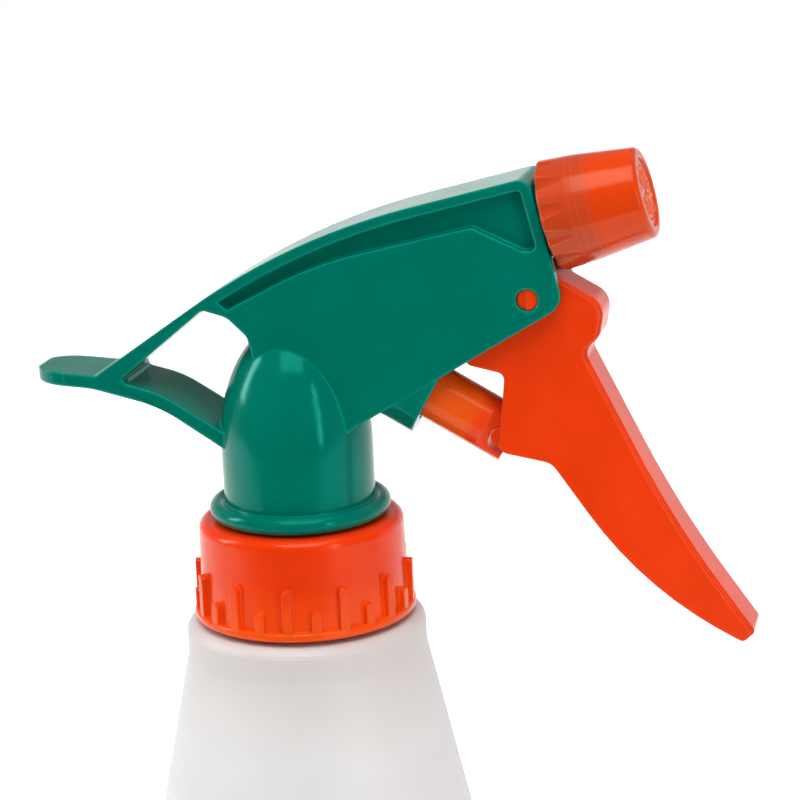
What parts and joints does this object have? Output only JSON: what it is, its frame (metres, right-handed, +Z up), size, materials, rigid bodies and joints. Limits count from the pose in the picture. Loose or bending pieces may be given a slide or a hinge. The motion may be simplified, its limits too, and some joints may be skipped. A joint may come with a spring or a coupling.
{
  "type": "trigger spray bottle",
  "caption": "Hand mister: milky cone-shouldered bottle with a screwed collar, pistol-shaped pump head, hinged trigger, rear spur and turning nozzle.",
  "frame": {"origin": "centre of the bottle's base, on the surface that it stands on", "axes": "+X the way the nozzle points, +Z up along the bottle's axis, Y across the trigger"},
  "size_m": [0.114, 0.072, 0.2422],
  "materials": {
    "milky_bottle": "blow-moulded translucent milky polyethylene, satin",
    "green_housing": "injection-moulded green polypropylene, semi-gloss",
    "orange_collar": "injection-moulded orange polypropylene, semi-gloss",
    "orange_trigger": "injection-moulded orange polypropylene, semi-gloss",
    "orange_piston": "injection-moulded orange polypropylene, slightly translucent",
    "orange_nozzle": "injection-moulded orange polypropylene, slightly translucent",
    "soft_white": "soft white polyethylene",
    "natural_plastic": "natural polypropylene",
    "clear_tube": "extruded natural polyethylene tube",
    "steel": "plain stainless steel",
    "black_rubber": "moulded nitrile rubber"
  },
  "bodies": {
    "bottle": {"bottle": "milky_bottle"},
    "head": {"head_housing": "green_housing", "neck_gasket": "soft_white", "tube_holder": "natural_plastic", "dip_tube": "clear_tube", "tube_strainer": "soft_white", "ball_cage": "natural_plastic", "return_spring": "steel", "outlet_spring": "steel", "swirl_insert": "natural_plastic", "spigot_o_ring": "black_rubber"},
    "collar": {"collar": "orange_collar"},
    "trigger": {"trigger": "orange_trigger"},
    "piston": {"piston": "orange_piston", "piston_seal": "soft_white"},
    "inlet_ball": {"inlet_ball": "steel"},
    "outlet_ball": {"outlet_ball": "steel"},
    "nozzle_seal": {"nozzle_seal": "soft_white"},
    "nozzle_cap": {"nozzle_cap": "orange_nozzle", "orifice_disc": "orange_nozzle"}
  },
  "joints": [
    {"name": "head_lift", "type": "slide", "parent": "bottle", "child": "head", "axis": [0, 0, 1], "range_m": [0, 0.00635]},
    {"name": "collar_turn", "type": "hinge", "parent": "head", "child": "collar", "pos_m": [0, 0, 0.184], "axis": [0, 0, 1], "range_deg": [0, 540]},
    {"name": "trigger_pivot", "type": "hinge", "parent": "head", "child": "trigger", "pos_m": [0.0388, 0, 0.2203], "axis": [0, 1, 0], "range_deg": [0, 30]},
    {"name": "piston_slide", "type": "slide", "parent": "head", "child": "piston", "axis": [-0.866, 0, 0.5], "range_m": [0, 0.01184], "stiffness_N_per_m": 1000, "springref_m": -0.0066, "deforming": ["return_spring"]},
    {"name": "nozzle_travel", "type": "slide", "parent": "head", "child": "nozzle_seal", "axis": [0.9703, 0, 0.2419], "range_m": [0, 0.003]},
    {"name": "nozzle_turn", "type": "hinge", "parent": "nozzle_seal", "child": "nozzle_cap", "pos_m": [0.0412, 0, 0.2318], "axis": [0.9703, 0, 0.2419], "range_deg": [0, 540]},
    {"name": "inlet_ball_lift", "type": "slide", "parent": "head", "child": "inlet_ball", "axis": [0, 0, 1], "range_m": [0, 0.001]},
    {"name": "outlet_ball_lift", "type": "slide", "parent": "head", "child": "outlet_ball", "axis": [0.9703, 0, 0.2419], "range_m": [0, 0.001], "stiffness_N_per_m": 60, "springref_m": -0.001, "deforming": ["outlet_spring"]}
  ],
  "couplings": [
    {"joint": "collar_turn", "follows": "head_lift", "rad_per_m": 1484.2},
    {"joint": "trigger_pivot", "follows": "piston_slide", "rad_per_m": 44.188},
    {"joint": "nozzle_turn", "follows": "nozzle_travel", "rad_per_m": 3141.6}
  ]
}
